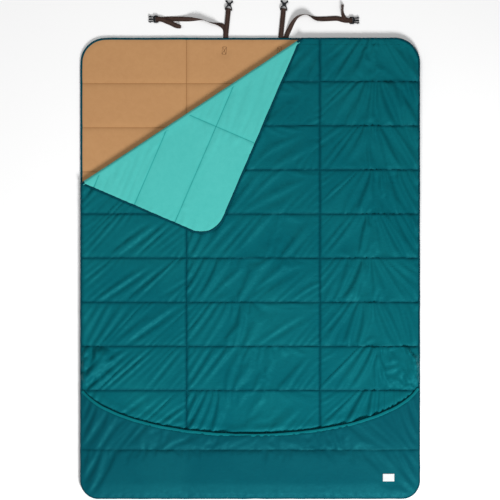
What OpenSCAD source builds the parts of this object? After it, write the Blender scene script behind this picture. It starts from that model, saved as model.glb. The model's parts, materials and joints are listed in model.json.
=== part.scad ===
// Two-layer insulated camp blanket, laid flat with one corner of the cover turned back.
// X runs across the blanket, +Y towards the head edge and its straps, +Z up.
// The origin is the centre of the blanket's underside.

/* [Blanket] */
// Width of both quilts, side to side
quilt_w = 1400; // [1100:10:1800]
// Length of both quilts, foot edge to head edge
quilt_l = 1900; // [1500:10:2400]
// Radius of the two head corners
head_r = 105; // [60:5:160]
// Radius of the two foot corners
foot_r = 75; // [40:5:150]

/* [Quilt layers] */
// Thickness of every cloth layer
cloth_t = 0.8; // [0.6:0.1:1.4]
// Thickness of the base quilt's batting
base_batt_t = 7.4; // [6:0.2:14]
// Thickness of the cover quilt's batting
cover_batt_t = 8.4; // [6:0.2:16]
// Gap between layers that move against each other
layer_gap = 0.3; // [0.2:0.1:0.6]

/* [Edge binding] */
// Width of the binding tape seen from above
bind_w = 10; // [6:1:20]
// Thickness of the binding tape
tape_t = 0.4; // [0.2:0.1:0.5]

/* [Quilting] */
// Distance between the rows of quilting
row_pitch = 181.5; // [120:0.5:260]
// First row of the cover, from the head edge
cover_row_first = 182; // [100:1:260]
// First row of the base, from the head edge
base_row_first = 190; // [100:1:260]
// Cross row on the left half, from the middle
cross_left = 262; // [150:1:450]
// Cross row on the right half, from the middle
cross_right = 287; // [150:1:450]
// Width of a stitched line
thread_w = 1.2; // [0.8:0.1:2]
// Depth of a stitched line
thread_t = 0.4; // [0.2:0.1:0.5]

/* [Turned-back corner] */
// Where the crease meets the head edge, from the left side
crease_run = 916; // [600:2:1100]
// Where the crease meets the left side, from the head edge
crease_drop = 603; // [400:1:800]

/* [Foot pocket] */
// Clear height inside the pocket
pocket_gap = 6.5; // [5:0.5:14]
// Thickness of the panel's batting
pocket_batt_t = 3; // [2:0.2:8]
// Lowest point of the mouth, from the foot edge
mouth_low = 269; // [150:1:400]
// Rise of the mouth's curve from its lowest point to its ends
mouth_rise = 237; // [120:1:300]
// Width of the bound hem along the mouth
hem_w = 12; // [8:1:24]
// Panel's own row of stitching, from the foot edge
pocket_row = 203; // [110:1:240]
// Width of the sewn-down rim inside the pocket
rim_w = 4; // [2:0.5:10]

/* [Label] */
// Width of the blank label
label_w = 47; // [25:1:90]
// Height of the blank label
label_h = 31; // [15:1:60]
// Centre of the label from the right side
label_in_x = 131; // [90:1:300]
// Centre of the label from the foot edge
label_in_y = 90; // [60:1:150]

/* [Straps] */
// Width of the webbing
web_w = 20; // [15:1:25]
// Thickness of one ply of webbing
web_t = 1.4; // [1:0.1:1.8]
// Left strap at the head edge, from the middle
left_strap = 101; // [60:1:300]
// Right strap at the head edge, from the middle
right_strap = 126; // [60:1:300]
// Angle by which the short legs lean to the right
strap_lean = 5.8; // [0:0.2:15]
// Short leg, from the head edge to the buckle's bar
short_len = 118; // [80:1:200]
// Webbing sewn in under the cloth, from the head edge
anchor_len = 76; // [50:1:120]
// Where the short leg starts to bend, from the head edge
bend_off = 18; // [12:1:40]

/* [Buckles] */
// Thickness of the female buckle
female_t = 9; // [8:0.5:14]
// Width across the female buckle's horns
female_w = 31; // [28:1:44]
// Radius of the bar that the short leg loops round
bar_r = 2; // [1.5:0.1:3]
// Radial clearance of the webbing eye on the bar
eye_gap = 0.1; // [0.05:0.05:0.3]
// Play between the webbing and the slot's sides
slot_play = 0.6; // [0.4:0.1:1.5]
// Clear height of the female buckle's socket
socket_h = 5.2; // [4.5:0.1:6.5]
// Clear width of the female buckle's socket
socket_w = 24; // [20:0.5:30]
// Play of the male prongs in the socket's height
prong_play = 0.6; // [0.3:0.1:1.2]
// Thickness of the male buckle's frame
male_t = 7; // [6.4:0.2:10]
// Length of the male buckle's three prongs
prong_len = 20; // [16:0.5:24]

/* [Hidden] */

$fn = 48;
cut = 1;
head_y = quilt_l / 2;
foot_y = -quilt_l / 2;
far = quilt_w + quilt_l;

// Heights of the layers
base_t = base_batt_t + 2 * cloth_t;
cover_z = base_t + layer_gap;
cover_t = cover_batt_t + 2 * cloth_t;
cover_top = cover_z + cover_t;
fold_z = cover_top + layer_gap / 2;
corner_z = fold_z + layer_gap / 2;
panel_z = cover_top + pocket_gap;
panel_t = pocket_batt_t + 2 * cloth_t;
panel_top = panel_z + panel_t;
label_t = 0.6;

// The crease line
crease_start = [-quilt_w / 2, head_y - crease_drop];
crease_angle = atan2(crease_drop, crease_run);
crease_set = 0.3;

// The pocket mouth is the lower half of an ellipse
mouth_a = quilt_w / 2 + 4;
mouth_x = -4;
mouth_end = 88;
mouth_steps = 32;

// Heights and lengths of the straps and buckles
strap_z = female_t / 2;
long_root_z = 1.2;
bend_gap = 0.3;
eye_r = bar_r + eye_gap + web_t;
stitch_y = -54;
stitch_l = 32;
stitch_w = 17;
ply_gap = 0.3;
ring_inset = 0.5;
arch_up = 2;
horn_y = 35;
neck_y = 17;
lug_drop = 5;
neck_half = 7;
bite_r = 12;
notch_r = 9;
notch_out = 1;
frame_side = 4.4;
male_w = web_w + 2 * (slot_play + frame_side);
male_l = 22;
male_corner_r = 6;
rear_bar = 3.5;
rear_slot = 3.6;
mid_bar = 3.8;
front_slot = 3.9;
loop_room = 1.1;
loop_front = rear_bar + rear_slot + mid_bar + loop_room + web_t;
loop_back = 2;
prong_t = socket_h - prong_play;
prong_z = (male_t - prong_t) / 2;
prong_half = 1.8;
prong_side_gap = 0.2;
prong_root_gap = 0.3;
prong_x = socket_w / 2 - prong_half - prong_side_gap;
prong_root_y = male_l + prong_half + prong_root_gap;
barb_out = 2.7;
barb_back = 8;
barb_flat = 2;
guide_half = 2.8;
guide_short = 1;

// Routes of the loose webbing: x, distance past the head edge, height of the lowest edge, roll.
// The webbing keeps its length and place when the blanket's size changes.
left_route = [
    [-101, 3, 1.2, 0], [-101, 12, 0.7, 0], [-101, 24, 0.3, 0], [-104, 37, 0.3, 0],
    [-113, 48, 0.3, 8], [-124, 53, 0.3, 34], [-138, 57, 0.3, 58], [-154, 60, 0.3, 72],
    [-174, 65, 0.3, 82], [-198, 73, 0.3, 94], [-228, 75, 0.3, 126], [-256, 76, 0.3, 158],
    [-290, 77, 0.3, 175], [-330, 77, 0.3, 180], [-354, 76, 0.3, 180], [-366, 76, 0.3, 180],
    [-375, 76, 0.3, 180]
];
right_route = [
    [148, 3, 1.2, 0], [150, 8, 0.9, 0], [154, 18, 0.5, 4], [163, 37, 0.3, 16], [176, 62, 0.3, 40],
    [192, 82, 0.3, 62], [210, 92, 0.3, 80], [230, 95, 0.3, 94], [250, 88, 0.3, 114],
    [270, 79, 0.3, 144], [294, 77, 0.3, 168], [325, 78, 0.3, 180], [358, 79, 0.3, 180],
    [378, 74, 0.3, 180], [391, 71, 0.3, 180], [399, 71, 0.3, 180], [406, 71, 0.3, 180]
];
left_tail_route = [
    [-375, 76, 5.3, 0], [-369, 76, 5, 0], [-358, 73, 4.2, 0], [-344, 67, 3.2, 0], [-327, 60, 2.7, 0],
    [-311, 52, 1.8, 0], [-298, 47, 0.5, 24], [-284, 44, 0.3, 58]
];
right_tail_route = [
    [406, 71, 5.3, 0], [400, 71, 5, 0], [393, 74, 4.2, 6], [386, 83, 2.8, 24],
    [382, 95, 1.2, 46], [380, 108, 0.4, 60], [380, 122, 0.3, 62], [381, 136, 0.3, 54]
];
left_male_at = [left_tail_route[0][0] - loop_back, left_tail_route[0][1]];
right_male_at = [right_tail_route[0][0] + loop_back, right_tail_route[0][1]];

// Colours
shell_colour = [0.04, 0.40, 0.41];
lining_colour = [0.32, 0.75, 0.72];
tan_colour = [0.74, 0.56, 0.37];
tape_colour = [0.03, 0.28, 0.33];
thread_colour = [0.02, 0.24, 0.28];
tan_thread_colour = [0.50, 0.36, 0.22];
batt_colour = [0.93, 0.93, 0.91];
web_colour = [0.23, 0.16, 0.14];
buckle_colour = [0.10, 0.11, 0.12];
label_colour = [0.96, 0.96, 0.95];

// ---- Plan shapes ----

module corner_bite(x, y, r) {
    difference() {
        translate([x > 0 ? x - r : x - cut, y > 0 ? y - r : y - cut])
            square(r + cut);
        translate([x > 0 ? x - r : x + r, y > 0 ? y - r : y + r])
            circle(r, $fn = 96);
    }
}

// Outline of a quilt, moved in from its edge
module outline(inset) {
    w = quilt_w / 2 - inset;
    l = quilt_l / 2 - inset;
    difference() {
        square([2 * w, 2 * l], center = true);
        for (side = [-1, 1]) {
            corner_bite(side * w, l, head_r - inset);
            corner_bite(side * w, -l, foot_r - inset);
        }
    }
}

// Everything on the corner's side of the crease
module corner_side(from_y) {
    translate(crease_start)
        rotate(crease_angle)
            translate([-far, from_y])
                square([3 * far, far]);
}

// What is left of a plan that covers the whole quilt, when its corner is turned back
module cover_cut() {
    difference() {
        children();
        translate([0, 0, -cut])
            linear_extrude(far)
                corner_side(-crease_set);
    }
}

// The corner of a plan, turned over the crease
module corner_cut() {
    translate(crease_start)
        rotate(crease_angle)
            mirror([0, 1, 0])
                rotate(-crease_angle)
                    translate(-crease_start)
                        intersection() {
                            children();
                            translate([0, 0, -cut])
                                linear_extrude(far)
                                    corner_side(crease_set);
                        }
}

module quilt_rows(first) {
    rows = floor((quilt_l - first - foot_r) / row_pitch);
    intersection() {
        outline(bind_w);
        union() {
            for (i = [0 : rows])
                translate([-quilt_w / 2, head_y - first - i * row_pitch - thread_w / 2])
                    square([quilt_w, thread_w]);
            for (x = [-cross_left, cross_right])
                translate([x - thread_w / 2, foot_y])
                    square([thread_w, quilt_l]);
        }
    }
}

module tape_ring(out) {
    difference() {
        outline(-out);
        outline(bind_w);
    }
}

function mouth_point(t, out) =
    let (b = mouth_rise, nx = sin(t) / mouth_a, ny = -cos(t) / b, n = norm([nx, ny]))
    [
        mouth_x + mouth_a * sin(t) + out * nx / n,
        foot_y + mouth_low + b - b * cos(t) + out * ny / n
    ];

// Everything above the pocket's mouth, with the curve moved towards the foot
module above_mouth(out) {
    polygon(concat(
        [for (i = [0 : mouth_steps]) mouth_point(mouth_end * (2 * i / mouth_steps - 1), out)],
        [[far, far], [-far, far]]
    ));
}

module panel_plan(out) {
    difference() {
        outline(bind_w);
        above_mouth(out);
    }
}

// ---- Quilts ----

// A cloth layer with a step for the tape and grooves for the stitches on its outer face
module cloth(z, face_z, first, stitched) {
    difference() {
        translate([0, 0, z])
            linear_extrude(cloth_t)
                outline(tape_t);
        translate([0, 0, face_z > z ? face_z - tape_t : face_z - cut])
            linear_extrude(tape_t + cut)
                tape_ring(cut);
        if (stitched)
            translate([0, 0, face_z > z ? face_z - thread_t : face_z - cut])
                linear_extrude(thread_t + cut)
                    quilt_rows(first);
    }
}

module stitched_rows(z, first) {
    translate([0, 0, z])
        linear_extrude(thread_t)
            quilt_rows(first);
}

module batting(z, t) {
    translate([0, 0, z])
        linear_extrude(t)
            outline(tape_t);
}

// Binding tape folded round the edge of a quilt
module tape(z, t) {
    difference() {
        translate([0, 0, z])
            linear_extrude(t)
                tape_ring(0);
        translate([0, 0, z + tape_t])
            linear_extrude(t - 2 * tape_t)
                outline(tape_t);
    }
}

module base_underside() {
    color(shell_colour)
        cloth(0, 0, base_row_first, false);
}

module base_batting() {
    color(batt_colour)
        difference() {
            batting(cloth_t, base_batt_t);
            left_anchor_shape();
            right_anchor_shape();
        }
}

module base_inner_cloth() {
    color(tan_colour)
        difference() {
            cloth(base_t - cloth_t, base_t, base_row_first, true);
            for (x = [-left_strap, right_strap])
                box_stitch_shape(x, thread_t + cut);
        }
}

module base_binding() {
    color(tape_colour)
        difference() {
            tape(0, base_t);
            left_anchor_shape();
            right_anchor_shape();
        }
}

module base_quilting() {
    color(tan_thread_colour)
        stitched_rows(base_t - thread_t, base_row_first);
}

// The seam that joins the two quilts all round, except at the opening
module joining_seam() {
    seam_in = 4;
    seam_w = 1.5;
    color(thread_colour)
        translate([0, 0, base_t])
            linear_extrude(layer_gap)
                difference() {
                    outline(seam_in);
                    outline(seam_in + seam_w);
                    translate([-far, crease_start[1]])
                        square([far + quilt_w / 2 - head_r, far]);
                    corner_side(-crease_set);
                }
}

module cover_lining() {
    color(lining_colour)
        cover_cut()
            cloth(cover_z, cover_z, cover_row_first, true);
}

module cover_batting() {
    color(batt_colour)
        cover_cut()
            batting(cover_z + cloth_t, cover_batt_t);
}

module cover_shell() {
    color(shell_colour)
        cover_cut()
            cloth(cover_top - cloth_t, cover_top, cover_row_first, true);
}

module cover_binding() {
    color(tape_colour)
        cover_cut()
            tape(cover_z, cover_t);
}

module cover_quilting() {
    color(thread_colour)
        cover_cut() {
            stitched_rows(cover_z, cover_row_first);
            stitched_rows(cover_top - thread_t, cover_row_first);
        }
}

// The turned-back corner lies shell side down
module corner_shell() {
    color(shell_colour)
        corner_cut()
            cloth(corner_z, corner_z, cover_row_first, true);
}

module corner_batting() {
    color(batt_colour)
        corner_cut()
            batting(corner_z + cloth_t, cover_batt_t);
}

module corner_lining() {
    color(lining_colour)
        corner_cut()
            cloth(corner_z + cover_t - cloth_t, corner_z + cover_t, cover_row_first, true);
}

module corner_binding() {
    color(tape_colour)
        corner_cut()
            tape(corner_z, cover_t);
}

module corner_quilting() {
    color(thread_colour)
        corner_cut() {
            stitched_rows(corner_z, cover_row_first);
            stitched_rows(corner_z + cover_t - thread_t, cover_row_first);
        }
}

// ---- Foot pocket ----

module pocket_row_plan() {
    intersection() {
        panel_plan(hem_w);
        translate([-quilt_w / 2, foot_y + pocket_row - thread_w / 2])
            square([quilt_w, thread_w]);
    }
}

module hem_plan(out) {
    difference() {
        panel_plan(out);
        panel_plan(hem_w);
    }
}

module pocket_lining() {
    color(shell_colour) {
        difference() {
            translate([0, 0, panel_z])
                linear_extrude(cloth_t)
                    panel_plan(tape_t);
            translate([0, 0, panel_z - cut])
                linear_extrude(tape_t + cut)
                    hem_plan(-cut);
        }
        translate([0, 0, cover_top])
            linear_extrude(pocket_gap)
                difference() {
                    panel_plan(hem_w);
                    outline(bind_w + rim_w);
                }
    }
}

module pocket_batting() {
    color(batt_colour)
        translate([0, 0, panel_z + cloth_t])
            linear_extrude(pocket_batt_t)
                panel_plan(tape_t);
}

module pocket_shell() {
    color(shell_colour)
        difference() {
            translate([0, 0, panel_top - cloth_t])
                linear_extrude(cloth_t)
                    panel_plan(tape_t);
            translate([0, 0, panel_top - tape_t])
                linear_extrude(tape_t + cut)
                    hem_plan(-cut);
            translate([0, 0, panel_top - thread_t])
                linear_extrude(thread_t + cut)
                    pocket_row_plan();
        }
}

module pocket_hem() {
    color(shell_colour)
        difference() {
            translate([0, 0, panel_z])
                linear_extrude(panel_t)
                    hem_plan(0);
            translate([0, 0, panel_z + tape_t])
                linear_extrude(panel_t - 2 * tape_t)
                    panel_plan(tape_t);
        }
}

module pocket_quilting() {
    color(thread_colour)
        translate([0, 0, panel_top - thread_t])
            linear_extrude(thread_t)
                pocket_row_plan();
}

// ---- Label ----

module at_label() {
    translate([quilt_w / 2 - label_in_x, foot_y + label_in_y, panel_top])
        children();
}

module label_frame(inset) {
    square([label_w - 2 * inset, label_h - 2 * inset], center = true);
}

module label_seam() {
    seam_in = 2;
    difference() {
        label_frame(seam_in);
        label_frame(seam_in + thread_w);
    }
}

module label() {
    color(label_colour)
        at_label()
            difference() {
                linear_extrude(label_t)
                    label_frame(0);
                translate([0, 0, label_t - thread_t])
                    linear_extrude(thread_t + cut)
                        label_seam();
            }
}

module label_stitching() {
    color(batt_colour)
        at_label()
            translate([0, 0, label_t - thread_t])
                linear_extrude(thread_t)
                    label_seam();
}

// ---- Straps ----

module at_strap(x) {
    translate([x, head_y, 0])
        rotate([0, 0, -strap_lean])
            children();
}

// Webbing sewn into the base quilt: the short leg's two plies, and the long leg under them
module anchor_shape(x, route) {
    heading = atan2(route[1][1] - route[0][1], route[1][0] - route[0][0]);
    fold_l = 14;
    at_strap(x) {
        translate([-web_w / 2, -anchor_len, strap_z - web_t])
            cube([web_w, anchor_len + bend_off - bend_gap, 2 * web_t]);
        translate([-web_w / 2, -anchor_len, long_root_z])
            cube([web_w, fold_l, strap_z - long_root_z]);
    }
    translate([route[0][0], head_y + route[0][1], long_root_z])
        rotate([0, 0, heading - 90])
            translate([-web_w / 2, -anchor_len, 0])
                cube([web_w, anchor_len, web_t]);
}

module left_anchor_shape() {
    anchor_shape(-left_strap, left_route);
}

module right_anchor_shape() {
    anchor_shape(right_strap, right_route);
}

module left_strap_anchor() {
    color(web_colour)
        left_anchor_shape();
}

module right_strap_anchor() {
    color(web_colour)
        right_anchor_shape();
}

// A sewn box with a cross in it
module box_stitch_plan() {
    diagonal = norm([stitch_w, stitch_l]) - thread_w;
    difference() {
        square([stitch_w, stitch_l], center = true);
        square([stitch_w - 2 * thread_w, stitch_l - 2 * thread_w], center = true);
    }
    for (side = [-1, 1])
        rotate(side * atan2(stitch_w, stitch_l))
            square([thread_w, diagonal], center = true);
}

module box_stitch_shape(x, t) {
    at_strap(x)
        translate([0, stitch_y, base_t - thread_t])
            linear_extrude(t)
                box_stitch_plan();
}

module left_box_stitch() {
    color(tan_thread_colour)
        box_stitch_shape(-left_strap, thread_t);
}

module right_box_stitch() {
    color(tan_thread_colour)
        box_stitch_shape(right_strap, thread_t);
}

// Doubled webbing with an eye round the buckle's bar
module short_strap(x) {
    color(web_colour)
        at_strap(x)
            translate([0, 0, strap_z])
                difference() {
                    union() {
                        translate([-web_w / 2, bend_off, -web_t])
                            cube([web_w, short_len - bend_off, 2 * web_t]);
                        translate([0, short_len, 0])
                            rotate([0, 90, 0])
                                cylinder(h = web_w, r = eye_r, center = true);
                    }
                    translate([0, short_len, 0])
                        rotate([0, 90, 0])
                            cylinder(h = web_w + 2 * cut, r = bar_r + eye_gap, center = true);
                }
}

module left_short_strap() {
    short_strap(-left_strap);
}

module right_short_strap() {
    short_strap(right_strap);
}

// Female buckle, with its bar at the local origin and its mouth towards +Y
module female_plan() {
    slot_half = web_w / 2 + slot_play;
    difference() {
        union() {
            intersection() {
                circle(female_w / 2 - ring_inset);
                translate([-female_w, -lug_drop])
                    square([2 * female_w, female_w]);
            }
            difference() {
                translate([-female_w / 2, slot_half])
                    square([female_w, horn_y - slot_half]);
                for (side = [-1, 1])
                    translate([side * (neck_half + bite_r), neck_y])
                        circle(bite_r);
                translate([0, horn_y + notch_out])
                    circle(notch_r);
            }
        }
        translate([0, arch_up])
            circle(slot_half);
        translate([-slot_half, -2 * lug_drop])
            square([2 * slot_half, 2 * lug_drop + arch_up]);
    }
}

module female_buckle(x) {
    color(buckle_colour)
        at_strap(x)
            translate([0, short_len, 0]) {
                difference() {
                    linear_extrude(female_t)
                        female_plan();
                    translate([-socket_w / 2, neck_y, (female_t - socket_h) / 2])
                        cube([socket_w, horn_y, socket_h]);
                }
                translate([0, 0, female_t / 2])
                    rotate([0, 90, 0])
                        cylinder(h = web_w + 2 * slot_play + cut, r = bar_r, center = true);
            }
}

module left_female_buckle() {
    female_buckle(-left_strap);
}

module right_female_buckle() {
    female_buckle(right_strap);
}

// ---- Loose webbing ----

function mix4(p, q, r, s, t) =
    0.5 * (2 * q + (r - p) * t + (2 * p - 5 * q + 4 * r - s) * t * t
           + (3 * q - p - 3 * r + s) * t * t * t);

function smooth_route(route, parts) =
    let (n = len(route) - 1)
    [
        for (i = [0 : n - 1], j = [0 : parts - 1])
            mix4(
                i == 0 ? 2 * route[0] - route[1] : route[i - 1],
                route[i],
                route[i + 1],
                i + 2 > n ? 2 * route[n] - route[n - 1] : route[i + 2],
                j / parts
            ),
        route[n]
    ];

// A ring of eight points across the webbing at one place on its route
function web_ring(line, i) =
    let (
        n = len(line) - 1,
        before = line[max(i - 1, 0)],
        after = line[min(i + 1, n)],
        step = [after[0] - before[0], after[1] - before[1]],
        flow = step / norm(step),
        roll = line[i][3],
        w = web_w / 2,
        h = web_t / 2,
        centre = [line[i][0], line[i][1], line[i][2] + w * abs(sin(roll)) + h * abs(cos(roll))],
        across = [-flow[1] * cos(roll), flow[0] * cos(roll), sin(roll)],
        up = [flow[1] * sin(roll), -flow[0] * sin(roll), cos(roll)],
        section = [
            [w, -h / 2], [w, h / 2], [w - h, h], [h - w, h],
            [-w, h / 2], [-w, -h / 2], [h - w, -h], [w - h, -h]
        ]
    )
    [for (s = section) centre + s[0] * across + s[1] * up];

module loose_web(route, parts) {
    line = smooth_route(route, parts);
    n = len(line);
    sides = 8;
    color(web_colour)
        translate([0, head_y, 0])
            polyhedron(
                points = [for (i = [0 : n - 1]) each web_ring(line, i)],
                faces = concat(
                    [[for (k = [0 : sides - 1]) k]],
                    [
                        for (i = [0 : n - 2], k = [0 : sides - 1])
                            let (a = i * sides + k, b = i * sides + (k + 1) % sides)
                            each k < sides / 2
                                ? [[a, a + sides, b + sides], [a, b + sides, b]]
                                : [[a, a + sides, b], [b, a + sides, b + sides]]
                    ],
                    [[for (k = [0 : sides - 1]) n * sides - 1 - k]]
                ),
                convexity = 10
            );
}

module left_long_strap() {
    loose_web(left_route, 2);
}

module right_long_strap() {
    loose_web(right_route, 2);
}

module left_strap_tail() {
    loose_web(left_tail_route, 1);
}

module right_strap_tail() {
    loose_web(right_tail_route, 1);
}

// ---- Male buckles ----

// Local frame of a male buckle: the webbing enters at the origin, the prongs point to +Y
module at_male(place, turn) {
    translate([place[0], head_y + place[1], 0])
        rotate([0, 0, turn])
            children();
}

module at_left_male() {
    at_male(left_male_at, 90)
        children();
}

module at_right_male() {
    at_male(right_male_at, -90)
        children();
}

// Webbing turned round the middle bar
module buckle_loop() {
    top_z = left_tail_route[0][2];
    color(web_colour)
        translate([-web_w / 2, 0, 0]) {
            translate([0, -loop_back, ply_gap])
                cube([web_w, loop_back + loop_front, web_t]);
            translate([0, -loop_back, top_z])
                cube([web_w, loop_back + loop_front, web_t]);
            translate([0, loop_front - web_t, ply_gap])
                cube([web_w, web_t, top_z - ply_gap + web_t]);
        }
}

module left_buckle_loop() {
    at_left_male()
        buckle_loop();
}

module right_buckle_loop() {
    at_right_male()
        buckle_loop();
}

module male_frame_plan() {
    r = male_corner_r;
    translate([-male_w / 2 + r, 0])
        square([male_w - 2 * r, male_l]);
    translate([-male_w / 2, r])
        square([male_w, male_l - 2 * r]);
    for (x = [r - male_w / 2, male_w / 2 - r], y = [r, male_l - r])
        translate([x, y])
            circle(r);
}

module male_buckle() {
    slot = web_w + 2 * slot_play;
    front = rear_bar + rear_slot + mid_bar + front_slot;
    guide_y = male_l + prong_len - guide_half - guide_short;
    bar_low = ply_gap + web_t;
    bar_high = left_tail_route[0][2];
    color(buckle_colour) {
        difference() {
            linear_extrude(male_t)
                male_frame_plan();
            for (y = [rear_bar, rear_bar + rear_slot + mid_bar])
                translate([-slot / 2, y, -cut])
                    cube([slot, y == rear_bar ? rear_slot : front_slot, male_t + 2 * cut]);
            translate([-slot / 2, -cut, -cut])
                cube([slot, front + cut, bar_low + cut]);
            translate([-slot / 2, -cut, bar_high])
                cube([slot, front + cut, male_t]);
        }
        translate([0, 0, prong_z])
            linear_extrude(prong_t) {
                translate([-guide_half, male_l - cut])
                    square([2 * guide_half, guide_y - male_l + cut]);
                translate([0, guide_y])
                    circle(guide_half);
            }
    }
}

module left_male_buckle() {
    at_left_male()
        male_buckle();
}

module right_male_buckle() {
    at_right_male()
        male_buckle();
}

// Springy side prong with a barb on its outer side; side is 1 or -1
module side_prong(side) {
    tip_y = male_l + prong_len - prong_half;
    barb_low = tip_y - barb_back;
    barb_high = barb_low + barb_flat;
    barb_x = prong_half + barb_out;
    color(buckle_colour)
        mirror([side < 0 ? 1 : 0, 0, 0])
            translate([prong_x, 0, prong_z])
                linear_extrude(prong_t) {
                    translate([0, prong_root_y])
                        circle(prong_half);
                    translate([0, tip_y])
                        circle(prong_half);
                    polygon([
                        [-prong_half, prong_root_y],
                        [prong_half, prong_root_y],
                        [prong_half, barb_low],
                        [barb_x, barb_low],
                        [barb_x, barb_high],
                        [prong_half, tip_y],
                        [-prong_half, tip_y]
                    ]);
                }
}

module left_far_prong() {
    at_left_male()
        side_prong(1);
}

module left_near_prong() {
    at_left_male()
        side_prong(-1);
}

module right_far_prong() {
    at_right_male()
        side_prong(-1);
}

module right_near_prong() {
    at_right_male()
        side_prong(1);
}

base_underside();
base_batting();
base_inner_cloth();
base_binding();
base_quilting();
joining_seam();
cover_lining();
cover_batting();
cover_shell();
cover_binding();
cover_quilting();
corner_shell();
corner_batting();
corner_lining();
corner_binding();
corner_quilting();
pocket_lining();
pocket_batting();
pocket_shell();
pocket_hem();
pocket_quilting();
label();
label_stitching();
left_strap_anchor();
right_strap_anchor();
left_box_stitch();
right_box_stitch();
left_short_strap();
right_short_strap();
left_female_buckle();
right_female_buckle();
left_long_strap();
right_long_strap();
left_strap_tail();
right_strap_tail();
left_buckle_loop();
right_buckle_loop();
left_male_buckle();
right_male_buckle();
left_far_prong();
left_near_prong();
right_far_prong();
right_near_prong();
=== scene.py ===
"""The camp blanket's looks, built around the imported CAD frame. All sizes are in metres."""

import json
import math

import bpy
import numpy as np
from mathutils import Matrix, Vector, noise
from mathutils.bvhtree import BVHTree


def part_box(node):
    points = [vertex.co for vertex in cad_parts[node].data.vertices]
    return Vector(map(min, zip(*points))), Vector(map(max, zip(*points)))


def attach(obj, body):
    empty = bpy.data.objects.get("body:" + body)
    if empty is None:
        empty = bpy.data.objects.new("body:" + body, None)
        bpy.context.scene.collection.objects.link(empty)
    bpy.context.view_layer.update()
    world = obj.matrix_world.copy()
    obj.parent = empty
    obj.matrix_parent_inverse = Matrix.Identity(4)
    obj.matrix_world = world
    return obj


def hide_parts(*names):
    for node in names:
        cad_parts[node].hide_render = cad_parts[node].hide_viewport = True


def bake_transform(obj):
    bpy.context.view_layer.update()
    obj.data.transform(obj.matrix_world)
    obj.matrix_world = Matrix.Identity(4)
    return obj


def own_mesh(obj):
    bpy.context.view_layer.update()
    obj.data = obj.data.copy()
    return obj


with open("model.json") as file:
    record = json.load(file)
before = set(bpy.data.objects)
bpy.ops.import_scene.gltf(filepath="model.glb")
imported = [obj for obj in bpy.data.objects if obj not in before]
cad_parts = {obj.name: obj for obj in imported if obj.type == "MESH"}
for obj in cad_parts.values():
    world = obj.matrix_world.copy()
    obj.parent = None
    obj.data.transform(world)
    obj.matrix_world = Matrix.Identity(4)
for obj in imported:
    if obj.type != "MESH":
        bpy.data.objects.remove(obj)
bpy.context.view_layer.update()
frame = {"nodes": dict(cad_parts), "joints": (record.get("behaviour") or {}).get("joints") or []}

# ---- Sizes that the frame gives ----

HALF_W, HALF_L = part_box("base_binding")[1].xy
BASE_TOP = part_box("base_inner_cloth")[1].z
COVER_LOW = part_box("cover_lining")[0].z
COVER_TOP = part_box("cover_shell")[1].z
FLAP_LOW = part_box("corner_shell")[0].z
FLAP_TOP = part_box("corner_lining")[1].z
PANEL_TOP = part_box("pocket_shell")[1].z
FOLD_Z = (COVER_TOP + FLAP_LOW) / 2
JOINTS = {joint["name"]: joint for joint in frame["joints"]}
CREASE_AT = Vector(JOINTS["corner_fold"]["pos_m"])
CREASE_AXIS = Vector(JOINTS["corner_fold"]["axis"])
CREASE_OUT = Vector((CREASE_AXIS.y, -CREASE_AXIS.x, 0))
LABEL_LOW, LABEL_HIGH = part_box("label")

# ---- Sizes that match the CAD's driving values ----

HEAD_R = 0.105
FOOT_R = 0.075
ROW_PITCH = 0.1815
COVER_FIRST = 0.182
BASE_FIRST = 0.190
CROSS = (-0.262, 0.287)
MOUTH_A = HALF_W + 0.004
MOUTH_B = 0.237
MOUTH_AT = (-0.004, -HALF_L + 0.269 + MOUTH_B)
HEM_W = 0.012
HEM_WAVE = 0.0016
POCKET_ROW = -HALF_L + 0.203
WEB_W = 0.020
WEB_T = 0.0014
STRAPS = {"left": -0.101, "right": 0.126}
STRAP_LEAN = math.radians(5.8)
SHORT_LEN = 0.118
STRAP_Z = 0.0045

# ---- Sizes of the cloth's own detail ----

CLOTH_STEP = 0.008
BASE_STEP = 0.010
LINING_STEP = 0.012
CLOTH_T = 0.0004
EDGE_IN = 0.004
PANEL_IN = 0.006
SEAM_SIDE = 0.003
SEAM_SINK = 0.0050
ON_SEAM = 1e-5
CREASE_FADE = 0.03
CREASE_GAP = 0.010
SHELL_GAP = 0.001
CREASE_HALF_T = 0.0002
COVER_RIM_Z = 0.0160
TAN_RIM_Z = 0.0062
UNDER_RIM_Z = 0.0030
TAPE_IN = 0.0050
TAPE_HALF_W = 0.0047
TAPE_CLEAR = 0.0001
STITCH_PITCH = 0.0044
STITCH_L = 0.0034
THREAD_R = 0.00045
LINE_END = 0.010
LABEL_T = 0.0006

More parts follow.
